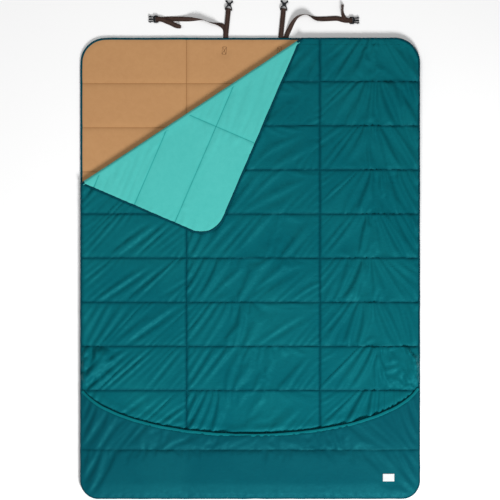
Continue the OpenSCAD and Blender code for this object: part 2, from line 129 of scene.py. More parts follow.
# Routes of the loose webbing: x, distance past the head edge, height of the lowest edge, roll.
ROUTES = {"left": [
    (-0.101, 0.003, 0.0012, 0), (-0.101, 0.012, 0.0007, 0), (-0.101, 0.024, 0.0003, 0),
    (-0.104, 0.037, 0.0003, 0), (-0.113, 0.048, 0.0003, 8), (-0.124, 0.053, 0.0003, 34),
    (-0.138, 0.057, 0.0003, 58), (-0.154, 0.060, 0.0003, 72), (-0.174, 0.065, 0.0003, 82),
    (-0.198, 0.073, 0.0003, 94), (-0.228, 0.075, 0.0003, 126), (-0.256, 0.076, 0.0003, 158),
    (-0.290, 0.077, 0.0003, 175), (-0.330, 0.077, 0.0003, 180), (-0.354, 0.076, 0.0003, 180),
    (-0.366, 0.076, 0.0003, 180), (-0.375, 0.076, 0.0003, 180),
], "right": [
    (0.148, 0.003, 0.0012, 0), (0.150, 0.008, 0.0009, 0), (0.154, 0.018, 0.0005, 4),
    (0.163, 0.037, 0.0003, 16), (0.176, 0.062, 0.0003, 40), (0.192, 0.082, 0.0003, 62),
    (0.210, 0.092, 0.0003, 80), (0.230, 0.095, 0.0003, 94), (0.250, 0.088, 0.0003, 114),
    (0.270, 0.079, 0.0003, 144), (0.294, 0.077, 0.0003, 168), (0.325, 0.078, 0.0003, 180),
    (0.358, 0.079, 0.0003, 180), (0.378, 0.074, 0.0003, 180), (0.391, 0.071, 0.0003, 180),
    (0.399, 0.071, 0.0003, 180), (0.406, 0.071, 0.0003, 180),
]}
TAILS = {"left": [
    (-0.375, 0.076, 0.0053, 0), (-0.369, 0.076, 0.0050, 0), (-0.358, 0.073, 0.0042, 0),
    (-0.344, 0.067, 0.0032, 0), (-0.327, 0.060, 0.0027, 0), (-0.311, 0.052, 0.0018, 0),
    (-0.298, 0.047, 0.0005, 24), (-0.284, 0.044, 0.0003, 58),
], "right": [
    (0.406, 0.071, 0.0053, 0), (0.400, 0.071, 0.0050, 0), (0.393, 0.074, 0.0042, 6),
    (0.386, 0.083, 0.0028, 24), (0.382, 0.095, 0.0012, 46), (0.380, 0.108, 0.0004, 60),
    (0.380, 0.122, 0.0003, 62), (0.381, 0.136, 0.0003, 54),
]}

# ---- Small helpers ----


def smooth(t):
    t = np.clip(t, 0, 1)
    return t * t * (3 - 2 * t)


def wander(points, size, seed):
    """Smooth noise from -1 to 1 at each point, with features of that size."""
    shift = Vector((seed * 7.3, seed * 3.1, seed * 1.7))
    return np.array([noise.noise(Vector(p) / size + shift) for p in points])


def with_height(plan, z=0.0):
    """Plan points with one height, or with a height each."""
    return np.column_stack([plan, np.broadcast_to(z, (len(plan),))])


def run_along(path):
    """Distance along a path at each of its points."""
    return np.concatenate([[0], np.cumsum(np.linalg.norm(np.diff(path, axis=0), axis=1))])


def unit(vectors):
    return vectors / np.linalg.norm(vectors, axis=1)[:, None]


def headings(path):
    """A path's unit direction at each of its points."""
    return unit(np.gradient(path, axis=0))


def right_of(flow):
    return np.column_stack([flow[:, 1], -flow[:, 0]])


def new_piece(name, points, faces, uv=None):
    mesh = bpy.data.meshes.new(name)
    mesh.from_pydata([tuple(map(float, p)) for p in points], [], faces)
    if uv is not None:
        layer = mesh.uv_layers.new(name="cloth")
        corner = np.zeros(len(mesh.loops), np.int32)
        mesh.loops.foreach_get("vertex_index", corner)
        layer.data.foreach_set("uv", np.asarray(uv, np.float32)[corner].ravel())
    mesh.polygons.foreach_set("use_smooth", [True] * len(mesh.polygons))
    mesh.update()
    piece = bpy.data.objects.new(name, mesh)
    bpy.context.scene.collection.objects.link(piece)
    return piece


def set_attribute(piece, name, values):
    attribute = piece.data.attributes.new(name, "FLOAT", "POINT")
    attribute.data.foreach_set("value", np.asarray(values, np.float32))


def spaced(stops, step):
    """Values from the first stop to the last, that hold every stop."""
    out = []
    for a, b in zip(stops, stops[1:]):
        n = max(1, round((b - a) / step))
        out += [a + (b - a) * i / n for i in range(n)]
    return np.array(out + [stops[-1]])


def paint(piece, material):
    piece.data.materials.clear()
    piece.data.materials.append(material)


def dressed(name, points, faces, uv, finish, body=None):
    """A piece with its material, on its body if it rides on one."""
    piece = new_piece(name, points, faces, uv)
    paint(piece, finish)
    if body:
        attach(piece, body)
    return piece


# ---- Plan shapes ----


def inside(x, y):
    """Distance in from the quilts' outline; negative outside."""
    r = np.where(y > 0, HEAD_R, FOOT_R)
    dx = np.abs(x) - (HALF_W - r)
    dy = np.abs(y) - (HALF_L - r)
    return r - np.hypot(np.maximum(dx, 0), np.maximum(dy, 0)) - np.minimum(np.maximum(dx, dy), 0)


def beyond_crease(x, y):
    """Distance past the crease, on the side of the turned-back corner."""
    return (x - CREASE_AT.x) * CREASE_OUT.x + (y - CREASE_AT.y) * CREASE_OUT.y


def below_mouth(x, y):
    """Distance from the pocket's mouth towards the foot."""
    dx, dy = x - MOUTH_AT[0], np.minimum(y - MOUTH_AT[1], -1e-4)
    f = np.hypot(dx / MOUTH_A, dy / MOUTH_B)
    slope = np.hypot(dx / MOUTH_A**2, dy / MOUTH_B**2) / np.maximum(f, 1e-6)
    return (f - 1) / slope


def turn_over(points):
    """The corner's points, turned from closed to lying back on the cover."""
    half_turn = Matrix.Rotation(math.pi, 4, CREASE_AXIS)
    m = np.array(Matrix.Translation(CREASE_AT) @ half_turn @ Matrix.Translation(-CREASE_AT))
    return np.asarray(points) @ m[:3, :3].T + m[:3, 3]


def rows(first):
    """The y of each quilting row, from the head to the foot."""
    count = math.floor((2 * HALF_L - first - FOOT_R) / ROW_PITCH) + 1
    return [HALF_L - first - i * ROW_PITCH for i in range(count)]


def cloth_plan(xs, ys, distance):
    """A grid over the plan where distance is positive, its border moved onto distance 0.

    Returns the plan's points, its faces, and which points are on its border."""
    x, y = np.meshgrid(xs, ys, indexing="ij")
    keep = distance(x, y) > -0.55 * CLOTH_STEP
    cell = keep[:-1, :-1] & keep[1:, :-1] & keep[:-1, 1:] & keep[1:, 1:]
    around = np.zeros(x.shape, int)
    for i, j in ((0, 0), (1, 0), (0, 1), (1, 1)):
        around[i:i + cell.shape[0], j:j + cell.shape[1]] += cell
    number = np.full(x.shape, -1)
    used = around > 0
    number[used] = np.arange(used.sum())
    points = np.stack([x[used], y[used]], axis=1)
    border = around[used] < 4
    edge, e = points[border], 1e-4
    for _ in range(3):
        ex, ey = edge[:, 0], edge[:, 1]
        d = distance(ex, ey)
        gx = (distance(ex + e, ey) - distance(ex - e, ey)) / (2 * e)
        gy = (distance(ex, ey + e) - distance(ex, ey - e)) / (2 * e)
        edge = edge - (d / np.maximum(gx**2 + gy**2, 0.25))[:, None] * np.stack([gx, gy], axis=1)
    points[border] = edge
    i, j = np.nonzero(cell)
    faces = np.stack([number[i, j], number[i + 1, j], number[i + 1, j + 1], number[i, j + 1]], axis=1)
    return points, faces, border


def seam_distance(points, row_ys):
    """Distance of each point from the nearest row and from the nearest cross row."""
    row = np.min([np.abs(points[:, 1] - y) for y in row_ys], axis=0)
    cross = np.min([np.abs(points[:, 0] - x) for x in CROSS], axis=0)
    return row, cross


# ---- Camera and light ----

WHITE = (1, 1, 1, 1)
scene = bpy.context.scene
camera = bpy.data.objects.new("camera", bpy.data.cameras.new("camera"))
scene.collection.objects.link(camera)
SENSOR_W = 36
CAMERA_UP = 12
VIEW_W = 2.060
camera.location = (-0.0006, 0.0752, CAMERA_UP)
camera.data.lens = SENSOR_W * CAMERA_UP / VIEW_W
camera.data.clip_end = 60
scene.camera = camera
scene.view_settings.view_transform = "Standard"

world = bpy.data.worlds.new("studio")
world.use_nodes = True
background = world.node_tree.nodes["Background"]
background.inputs["Color"].default_value = WHITE
background.inputs["Strength"].default_value = 0.24
scene.world = world


def soft_light(name, place, size, power):
    light = bpy.data.lights.new(name, "AREA")
    light.shape = "DISK"
    light.size = size
    light.energy = power
    lamp = bpy.data.objects.new(name, light)
    lamp.location = place
    lamp.rotation_euler = (-Vector(place)).to_track_quat("-Z", "Y").to_euler()
    scene.collection.objects.link(lamp)


soft_light("key_light", (1.4, -3.7, 3.4), 2.0, 320)
soft_light("fill_light", (-1.6, 2.4, 4.6), 3.0, 80)

# ---- Materials ----


def linear(rgb):
    """Scene colour of an sRGB colour from 0 to 255."""
    return tuple((c / 255 / 12.92) if c <= 10 else ((c / 255 + 0.055) / 1.055) ** 2.4 for c in rgb) + (1.0,)


class Finish:
    """A material and the few node moves that the finishes below share."""

    def __init__(self, name):
        self.material = bpy.data.materials.new(name)
        self.material.use_nodes = True
        self.tree = self.material.node_tree
        self.shader = self.tree.nodes["Principled BSDF"]
        self.height = None

    def node(self, kind, **values):
        node = self.tree.nodes.new(kind)
        for key, value in values.items():
            setattr(node, key, value)
        return node

    def link(self, a, b):
        self.tree.links.new(a, b)

    def noise(self, coords, scale, detail=2, distortion=0.0, stretch=(1, 1, 1)):
        spread = self.node("ShaderNodeMapping")
        spread.inputs["Scale"].default_value = stretch
        self.link(coords, spread.inputs["Vector"])
        node = self.node("ShaderNodeTexNoise")
        node.inputs["Scale"].default_value = scale
        node.inputs["Detail"].default_value = detail
        node.inputs["Distortion"].default_value = distortion
        self.link(spread.outputs[0], node.inputs["Vector"])
        return node.outputs[0]

    def bands(self, coords, pitch, direction):
        node = self.node("ShaderNodeTexWave", wave_type="BANDS", bands_direction=direction)
        node.inputs["Scale"].default_value = 2 * math.pi / 20 / pitch
        node.inputs["Distortion"].default_value = 0.4
        node.inputs["Detail"].default_value = 1
        self.link(coords, node.inputs["Vector"])
        return node.outputs["Fac"]

    def cloth(self):
        return self.node("ShaderNodeUVMap", uv_map="cloth").outputs[0]

    def attribute(self, name):
        return self.node("ShaderNodeAttribute", attribute_name=name).outputs["Fac"]

    def remap(self, value, low=0.0, high=1.0, onto=(0.0, 1.0)):
        """Maps a value between low and high onto another span, and holds it there."""
        node = self.node("ShaderNodeMapRange")
        for name, limit in zip(("From Min", "From Max", "To Min", "To Max"), (low, high) + onto):
            node.inputs[name].default_value = limit
        self.link(value, node.inputs["Value"])
        return node.outputs[0]

    def times(self, value, factor):
        node = self.node("ShaderNodeMath", operation="MULTIPLY")
        node.inputs[1].default_value = factor
        self.link(value, node.inputs[0])
        return node.outputs[0]

    def blend(self, factor, a, b):
        """Mixes two colours; each is a socket or a colour."""
        node = self.node("ShaderNodeMix", data_type="RGBA")
        self.link(factor, node.inputs[0])
        for slot, value in ((node.inputs[6], a), (node.inputs[7], b)):
            if isinstance(value, tuple):
                slot.default_value = value
            else:
                self.link(value, slot)
        return node.outputs[2]

    def bump(self, value, distance, strength=1.0):
        node = self.node("ShaderNodeBump")
        node.inputs["Distance"].default_value = distance
        node.inputs["Strength"].default_value = strength
        self.link(value, node.inputs["Height"])
        if self.height is not None:
            self.link(self.height, node.inputs["Normal"])
        self.height = node.outputs[0]

    def done(self, colour, roughness, specular, tint, sheen=0.0, sheen_tint=WHITE):
        self.link(colour, self.shader.inputs["Base Color"])
        values = {"Specular IOR Level": specular, "Specular Tint": tint, "IOR": 1.35,
                  "Sheen Weight": sheen, "Sheen Roughness": 0.4, "Sheen Tint": sheen_tint}
        for name, value in values.items():
            self.shader.inputs[name].default_value = value
        if isinstance(roughness, float):
            self.shader.inputs["Roughness"].default_value = roughness
        else:
            self.link(roughness, self.shader.inputs["Roughness"])
        if self.height is not None:
            self.link(self.height, self.shader.inputs["Normal"])
        return self.material


def woven(name, main, dark, light, pitch, crinkle, roughness, specular, tint=WHITE, sheen=0.0, mottle=0.25):
    """A cloth: mottled colour, painted shade along its seams, a fine weave and fine crinkles."""
    f = Finish(name)
    cloth = f.cloth()
    seam = f.attribute("seam")
    wide = f.remap(f.noise(cloth, 3.2, 3, 0.6), 0.35, 0.65)
    fine = f.remap(f.noise(cloth, 46, 4, 0.8), 0.35, 0.72)
    colour = f.blend(wide, linear(main), linear(light))
    colour = f.blend(f.times(fine, mottle), colour, linear(dark))
    # Painted shade: the cloth turns towards its dark colour along the seams, by the seam attribute.
    colour = f.blend(seam, colour, linear(dark))
    f.bump(f.noise(cloth, 34, 5, 1.2, (1, 1.6, 1)), crinkle)
    for direction in "XY":
        f.bump(f.bands(cloth, pitch, direction), 0.00008, 0.35)
    rough = f.remap(fine, onto=(roughness - 0.06, roughness + 0.10))
    return f.done(colour, rough, specular, tint, sheen, tint)


SHELL_TINT = (0.06, 0.75, 0.78, 1)
AQUA_TINT = (0.6, 1, 1, 1)
TAN_TINT = (1, 0.85, 0.7, 1)
THREAD_TINT = (1, 0.8, 0.6, 1)
shell_finish = woven("shell_nylon", (4, 85, 95), (0, 52, 64), (8, 93, 101), 0.0007, 0.0010, 0.52, 0.5,
                     SHELL_TINT, mottle=0.14)
panel_finish = woven("panel_nylon", (4, 71, 83), (0, 46, 58), (7, 77, 88), 0.0007, 0.0007, 0.52, 0.5,
                     SHELL_TINT, mottle=0.14)
lining_finish = woven("aqua_lining", (76, 184, 177), (16, 140, 136), (80, 187, 180), 0.0009, 0.0003, 0.7, 0.25,
                      AQUA_TINT, mottle=0.08)
tan_finish = woven("tan_cotton", (184, 138, 94), (146, 102, 62), (187, 141, 96), 0.0011, 0.0003, 0.85, 0.2,
                   TAN_TINT, sheen=0.1, mottle=0.10)
# A dark nylon whose colour is painted shade: it stands for the shadow inside the pocket and under its hem.
pocket_shade_finish = woven("pocket_shade_nylon", (2, 36, 44), (1, 26, 34), (4, 44, 52), 0.0007, 0.0008, 0.5, 0.3, SHELL_TINT)


def ribbed(name, main, dark, light, pitch=0.0008, roughness=0.5, specular=0.3, tint=SHELL_TINT):
    """A woven tape: ribs across it, with a colour that varies along it."""
    f = Finish(name)
    cloth = f.cloth()
    along = f.remap(f.noise(cloth, 22, 4, 0.5), 0.35, 0.7)
    colour = f.blend(along, linear(main), linear(light))
    ribs = f.bands(cloth, pitch, "X")
    colour = f.blend(f.times(ribs, 0.35), colour, linear(dark))
    f.bump(f.noise(cloth, 90, 3, 0.5), 0.0006)
    f.bump(ribs, 0.00012, 0.5)
    return f.done(colour, roughness, specular, tint, 0.0, tint)


tape_finish = ribbed("edge_tape", (3, 56, 68), (1, 40, 52), (6, 66, 78), 0.0012, 0.6)
hem_finish = ribbed("hem_tape", (9, 98, 105), (3, 78, 88), (12, 106, 112), 0.0012, 0.5, 0.4)
thread_teal = ribbed("teal_thread", (5, 66, 72), (2, 46, 52), (8, 76, 82))
thread_aqua = ribbed("aqua_thread", (34, 140, 134), (20, 110, 106), (44, 150, 144))
thread_tan = ribbed("tan_thread", (138, 94, 54), (112, 74, 40), (150, 104, 62), roughness=0.6, tint=THREAD_TINT)
thread_brown = ribbed("brown_thread", (88, 56, 32), (66, 40, 22), (98, 64, 38), roughness=0.6, tint=THREAD_TINT)
thread_white = ribbed("label_thread", (206, 208, 208), (180, 184, 184), (214, 216, 216), roughness=0.6, tint=WHITE)


def webbing_finish():
    """Dark brown webbing: slanting ribs, with painted sheen as a paler stripe down the middle and paler edges."""
    f = Finish("brown_webbing")
    cloth = f.cloth()
    across = f.attribute("across")
    stripe = f.remap(across, 0.30, 0.05)
    edge = f.remap(across, 0.86, 1.0)
    mottle = f.remap(f.noise(cloth, 70, 4, 0.5), 0.3, 0.7)
    colour = f.blend(mottle, linear((46, 32, 28)), linear((62, 45, 39)))
    # Painted sheen: a paler stripe down the middle and paler edges, where the crown and the rounded sides of the
    # webbing catch the light.
    colour = f.blend(f.times(stripe, 0.55), colour, linear((92, 72, 62)))
    colour = f.blend(f.times(edge, 0.35), colour, linear((104, 84, 74)))
    slant = f.node("ShaderNodeMapping")
    slant.inputs["Rotation"].default_value = (0, 0, math.radians(52))
    f.link(cloth, slant.inputs["Vector"])
    f.bump(f.bands(slant.outputs[0], 0.0016, "X"), 0.0003, 0.7)
    f.bump(f.bands(cloth, 0.0012, "Y"), 0.0002, 0.5)
    return f.done(colour, 0.72, 0.3, (1, 0.9, 0.85, 1), 0.08, (0.9, 0.8, 0.75, 1))


def plastic_finish():
    """Moulded nylon: a fine grain, and edges rubbed a little paler."""
    f = Finish("moulded_plastic")
    place = f.node("ShaderNodeTexCoord").outputs["Object"]
    mottle = f.remap(f.noise(place, 120, 3, 0.2), 0.3, 0.7)
    colour = f.blend(mottle, linear((14, 16, 19)), linear((22, 24, 27)))
    worn = f.remap(f.node("ShaderNodeNewGeometry").outputs["Pointiness"], 0.56, 0.70)
    colour = f.blend(f.times(worn, 0.25), colour, linear((66, 70, 74)))
    f.bump(f.noise(place, 1400, 2), 0.00006, 0.6)
    return f.done(colour, f.remap(mottle, onto=(0.48, 0.62)), 0.3, WHITE)


def floor_finish():
    f = Finish("studio_floor")
    place = f.node("ShaderNodeTexCoord").outputs["Object"]
    colour = f.blend(f.noise(place, 2, 2), (0.95, 0.95, 0.95, 1), (0.96, 0.96, 0.96, 1))
    return f.done(colour, 0.9, 0.1, WHITE)


brown = webbing_finish()
plastic = plastic_finish()
label_finish = woven("label_weave", (206, 211, 212), (176, 182, 184), (214, 218, 218), 0.0006, 0.0003, 0.7, 0.3)

FLOOR_HALF = 15
FLOOR_Z = -0.0004
floor_corners = [(a * FLOOR_HALF, b * FLOOR_HALF, FLOOR_Z) for a, b in ((-1, -1), (1, -1), (1, 1), (-1, 1))]
floor = new_piece("floor", floor_corners, [(0, 1, 2, 3)])
paint(floor, floor_finish())

# ---- Straps ----


def spline(route, per_part=6):
    """Points on one smooth curve through the route, ends included."""
    r = np.asarray(route, float)
    r = np.vstack([2 * r[0] - r[1], r, 2 * r[-1] - r[-2]])
    out = []
    for p, q, s, w in zip(r, r[1:], r[2:], r[3:]):
        for t in np.arange(per_part) / per_part:
            bend = (2 * p - 5 * q + 4 * s - w) * t**2 + (3 * q - p - 3 * s + w) * t**3
            out.append(0.5 * (2 * q + (s - p) * t + bend))
    return np.array(out + [r[-2]])


def ribbon(name, centres, across, up, body):
    """A strip of webbing with rounded edges along its centre line."""
    w, t = WEB_W / 2, WEB_T / 2
    top = [(share * w, t) for share in (-0.62, -0.2, 0.2, 0.62)]
    side = [(-w, 0), (-w + 0.4 * t, 0.8 * t)] + top + [(w - 0.4 * t, 0.8 * t)]
    section = side + [(-a, -b) for a, b in side]
    n, m = len(centres), len(section)
    run = run_along(centres)
    points = [centres[i] + a * across[i] + b * up[i] for i in range(n) for a, b in section]
    uv = [(run[i], a) for i in range(n) for a, b in section]
    faces = []
    for i in range(n - 1):
        for k in range(m):
            q = (k + 1) % m
            faces.append((i * m + k, i * m + q, (i + 1) * m + q, (i + 1) * m + k))
    faces += [tuple(range(m))[::-1], tuple((n - 1) * m + k for k in range(m))]
    piece = dressed(name, points, faces, uv, brown, body)
    set_attribute(piece, "across", [abs(a) / w for i in range(n) for a, b in section])
    return piece


def loose(name, route):
    """A length of loose webbing on the floor, and the points that it follows."""
    r = spline([(x, y, lift, math.radians(roll)) for x, y, lift, roll in route])
    flow = headings(r[:, :2])
    s, c = np.sin(r[:, 3]), np.cos(r[:, 3])
    z = r[:, 2] + WEB_W / 2 * abs(s) + WEB_T / 2 * abs(c)
    centres = np.column_stack([r[:, 0], HALF_L + r[:, 1], z])
    across = np.column_stack([-flow[:, 1] * c, flow[:, 0] * c, s])
    up = np.column_stack([flow[:, 1] * s, -flow[:, 0] * s, c])
    return ribbon(name, centres, across, up, "blanket"), centres


def folded(name, place, heading, path, body):
    """Webbing that runs along a plan heading and folds back: path is distance along and height."""
    ahead = Vector((math.cos(heading), math.sin(heading), 0))
    across = np.tile(np.array((-ahead.y, ahead.x, 0)), (len(path), 1))
    path = np.asarray(path, float)
    centres = np.array(place) + path[:, :1] * np.array(ahead) + path[:, 1:] * np.array((0, 0, 1.0))
    flow = headings(path)
    up = -flow[:, 1:] * np.array(ahead) + flow[:, :1] * np.array((0, 0, 1.0))
    return ribbon(name, centres, across, up, body)


def arc(at, r, start, end, count):
    turns = np.radians(np.linspace(start, end, count))
    return [(at[0] + r * math.cos(a), at[1] + r * math.sin(a)) for a in turns]


BUCKLE_AT = {"left": (-0.377, 1.026, math.pi), "right": (0.408, 1.021, 0.0)}
for side, x in STRAPS.items():
    strap, centres = loose(f"{side}_long_webbing", ROUTES[side])
    first, later = Vector(centres[0]), Vector(centres[3])
    inward = (first - later).normalized()
    inward.z = 0
    reaches = (0.040, 0.028, 0.016, 0.008, 0.0, -0.003)
    root = np.array([first + inward * d + Vector((0, 0, -0.0001)) for d in reaches])
    sideways = np.tile((-inward.y, inward.x, 0), (len(root), 1))
    ribbon(f"{side}_root_webbing", root, sideways, np.tile((0, 0, 1.0), (len(root), 1)), "blanket")
    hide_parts(f"{side}_long_strap")
    tail, _ = loose(f"{side}_tail_webbing", TAILS[side])
    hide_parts(f"{side}_strap_tail")
    bx, by, heading = BUCKLE_AT[side]
    turn = arc((0.0102, 0.0035), 0.0025, 88, -88, 11)
    legs = (-0.002, 0.002, 0.006)
    path = [(d, 0.0060) for d in legs] + turn + [(d, 0.0010) for d in legs[::-1]]
    loop = folded(f"{side}_loop_webbing", (bx, by, 0), heading, path, "blanket")
    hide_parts(f"{side}_buckle_loop")
    hard = [f"{side}_male_buckle", f"{side}_far_prong", f"{side}_near_prong"]
    lean = math.pi / 2 - STRAP_LEAN
    path = [(-0.030 + 0.006 * i, STRAP_Z + 0.0007) for i in range(24)]
    eye = [(SHORT_LEN - 0.006, STRAP_Z + 0.0009), (SHORT_LEN - 0.004, STRAP_Z + 0.0016)]
    eye += arc((SHORT_LEN, STRAP_Z), 0.0029, 128, -128, 17)
    eye += [(SHORT_LEN - 0.004, STRAP_Z - 0.0016), (SHORT_LEN - 0.006, STRAP_Z - 0.0009)]
    back = [(a, STRAP_Z - 0.0007) for a, _ in path[::-1]]
    leg = folded(f"{side}_short_webbing", (x, HALF_L, 0), lean, path + eye + back, None)
    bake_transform(leg)
    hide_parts(f"{side}_short_strap", f"{side}_strap_anchor")
    for name in hard + [f"{side}_female_buckle"]:
        node = frame["nodes"][name]
        paint(node, plastic)
        round_edges = node.modifiers.new("rounded edges", "BEVEL")
        round_edges.width = 0.0005
        round_edges.segments = 2
        round_edges.limit_method = "ANGLE"
        round_edges.angle_limit = math.radians(40)
paint(frame["nodes"]["joining_seam"], thread_teal)

# ---- Cloth simulation ----

SEWN_FRAME = 11
LAST_FRAME = 18
BUNCH = 0.09
LENGTH_EASE = 1.018


def sew(plan, faces, row_ys, pinned, lean, slack, seed):
    """The plan's points, moved as cloth cut too large moves when it is sewn down in rows.

    Each band between two rows is cut with its own lean, so its wrinkles slant."""
    edges = np.sort(row_ys)
    band = np.searchsorted(edges, plan[faces].mean(axis=1)[:, 1])
    keys, where = np.unique(faces * 64 + band[:, None], return_inverse=True)
    point, level = keys // 64, keys % 64
    low = np.concatenate([[edges[0] - ROW_PITCH], edges])[level]
    x, y = plan[point, 0], plan[point, 1]
    t = (y - low) / ROW_PITCH
    crossing = np.min([np.abs(x - c) for c in CROSS], axis=0)
    row_gap = np.min([np.abs(y - r) for r in edges], axis=0)
    spots = np.column_stack([x, level * 0.4, np.full(len(x), seed * 0.9)])
    sideways = -lean(x, spots) * t
    loose_x = slack * x + wander(spots, 0.16, seed) * 0.22 * slack
    along_rows = wander(np.column_stack([x, y * 0, level * 0.3]), 0.018, seed + 3)
    along_cross = wander(np.column_stack([x * 0, y, y * 0]), 0.03, seed + 5)
    gather = 0.0009 * along_rows * np.exp(-row_gap / 0.02)
    loose_y = 0.0034 * along_cross * np.exp(-crossing / 0.04)
    for end in (-1, 1):
        away = np.column_stack([x - end * (HALF_W - 0.05), y - MOUTH_AT[1] - 0.03])
        push = BUNCH * np.exp(-(np.hypot(*away.T) / 0.10) ** 2)
        loose_x = loose_x + push * away[:, 0]
        loose_y = loose_y + push * away[:, 1]
    flat = np.column_stack([x, y, x * 0])
    rest = np.column_stack([
        x + loose_x + sideways + gather,
        y * LENGTH_EASE + loose_y,
        0.0007 * wander(flat, 0.045, seed + 7) + 0.0003 * wander(flat, 0.018, seed + 8),
    ])
    mesh = bpy.data.meshes.new("cut")
    mesh.from_pydata(rest.tolist(), [], where.reshape(faces.shape).tolist())
    piece = bpy.data.objects.new("cut", mesh)
    scene.collection.objects.link(piece)
    piece.shape_key_add(name="cut")
    sewn = piece.shape_key_add(name="sewn")
    sewn.data.foreach_set("co", flat.astype(np.float32).ravel())
    for when, value in ((1, 0), (SEWN_FRAME, 1)):
        sewn.value = value
        sewn.keyframe_insert("value", frame=when)
    group = piece.vertex_groups.new(name="sewn")
    group.add(np.nonzero(pinned[point])[0].tolist(), 1.0, "REPLACE")
    cloth = piece.modifiers.new("cloth", "CLOTH")
    values = {"quality": 4, "mass": 0.2, "air_damping": 3, "tension_stiffness": 25, "compression_stiffness": 25,
              "shear_stiffness": 12, "bending_stiffness": 0.25, "vertex_group_mass": "sewn",
              "use_pressure": True, "uniform_pressure_force": 0.6}
    for key, value in values.items():
        setattr(cloth.settings, key, value)
    cloth.settings.effector_weights.gravity = 0
    cloth.collision_settings.use_collision = False
    cloth.point_cache.frame_end = LAST_FRAME
    for when in range(1, LAST_FRAME + 1):
        scene.frame_set(when)
    shown = piece.evaluated_get(bpy.context.evaluated_depsgraph_get()).to_mesh()
    out = np.zeros(len(shown.vertices) * 3, np.float32)
    shown.vertices.foreach_get("co", out)
    out = out.reshape(-1, 3).astype(float)
    bpy.data.objects.remove(piece)
    bpy.data.meshes.remove(mesh)
    scene.frame_set(1)
    moved = with_height(plan)
    moved[point] = out
    return moved


def shell_lean(x, spots):
    """How far each band's upper row is sewn to the right of its lower row, in metres."""
    places = [-0.7, -0.3, -0.1, 0.2, 0.32, 0.46, 0.54, 0.7]
    trend = np.interp(x, places, [1.15, 1.25, 0.6, 0.15, 1, 0.8, -0.5, -1.0])
    return 0.0115 * (trend + 0.6 * wander(spots, 0.22, 11))


def rise(d, reach):
    """A pillow's side: 0 at its seam, and 1 from that distance on."""
    t = np.clip(d / reach, 0, 1)
    return np.sqrt(1 - (1 - t) ** 2)


def pillow(points, row_ys, reach=0.034):
    """0 on every seam and edge, and 1 on top of the pillows."""
    row, cross = seam_distance(points, row_ys)
    edge = inside(*points.T) - EDGE_IN
    return rise(row, reach) * rise(cross, 0.7 * reach) * rise(edge, 0.6 * reach)


def seam_shade(points, row_ys, reach=0.0040):
    """Mostly painted shade by the seams, where the grooves lie in shadow, with a little of the thread's colour: 1
    on them.
    """
    row, cross = seam_distance(points, row_ys)
    return np.exp(-(np.minimum(row, cross) / reach) ** 2)


def sway(s, line, seed):
    """How far a sewn line strays sideways, at each distance along it."""
    s = np.atleast_1d(np.asarray(s, float))
    spots = np.column_stack([s, np.full(len(s), float(line)), np.zeros(len(s))])
    return 0.0011 * wander(spots, 0.05, seed) + 0.0014 * wander(spots, 0.19, seed + 1)


def swayed(points, row_ys, seed):
    """The points moved so that the sewn lines stray by their sway."""
    out = points.copy()
    for line in CROSS:
        gap = np.abs(points[:, 0] - line)
        out[:, 0] += sway(points[:, 1], line, seed) * np.exp(-(gap / 0.035) ** 2)
    for line in row_ys:
        gap = np.abs(points[:, 1] - line)
        out[:, 1] += 0.7 * sway(points[:, 0], line, seed) * np.exp(-(gap / 0.035) ** 2)
    return out


def near(d, reach):
    """1 at distance 0, and 0 from that distance on."""
    return 1 - smooth(np.clip(d, 0, None) / reach)


def seam_grid(row_ys, step):
    """The x and y of a grid's lines, with one on each seam and one on each side of it."""
    out = []
    for seams, half in ((CROSS, HALF_W), (sorted(row_ys), HALF_L)):
        stops = [-half + EDGE_IN]
        for seam in seams:
            stops += [seam - SEAM_SIDE, seam, seam + SEAM_SIDE]
        out.append(spaced(stops + [half - EDGE_IN], step))
    return out


def sheet_piece(name, points, faces, plan, finish, shade, body="blanket", flip=False):
    """A cloth layer as a mesh, with its colour and thickness."""
    faces = faces[:, ::-1] if flip else faces
    piece = dressed(name, points, faces.tolist(), plan, finish, body)
    # The seam attribute holds the painted shade along the seams.
    set_attribute(piece, "seam", shade)
    solid = piece.modifiers.new("thickness", "SOLIDIFY")
    solid.thickness = CLOTH_T
    solid.offset = -1
    piece.modifiers.new("even shading", "WEIGHTED_NORMAL")
    return piece


def middle_of(node):
    """The middle of a CAD node's box, in plan."""
    low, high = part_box(node)
    return Vector(((low.x + high.x) / 2, (low.y + high.y) / 2))


def surface_of(piece_points, faces):
    return BVHTree.FromPolygons([Vector(p) for p in piece_points], faces.tolist())


def drop(surface, x, y, down=True):
    """Height of the surface at a plan point, seen from above or from below."""
    start = Vector((x, y, 1 if down else -1))
    hit = surface.ray_cast(start, Vector((0, 0, -1 if down else 1)))[0]
    return None if hit is None else hit.z


def panel(x, y):
    """Distance in from the pocket panel's outline; negative outside."""
    return np.minimum(inside(x, y) - PANEL_IN, below_mouth(x, y) - 0.002)


def panel_level(x, y):
    """The panel's height before its wrinkles."""
    edge = inside(x, y) - PANEL_IN
    return 0.0190 + 0.0094 * smooth(np.clip(edge, 0, None) / 0.075) ** 0.8


def inner_level(x, y):
    """The height of the pocket's inner layer."""
    edge = inside(x, y) - PANEL_IN
    return panel_level(x, y) - 0.0010 - 0.0032 * smooth(np.clip(edge, 0, None) / 0.03)


# ---- Base quilt ----

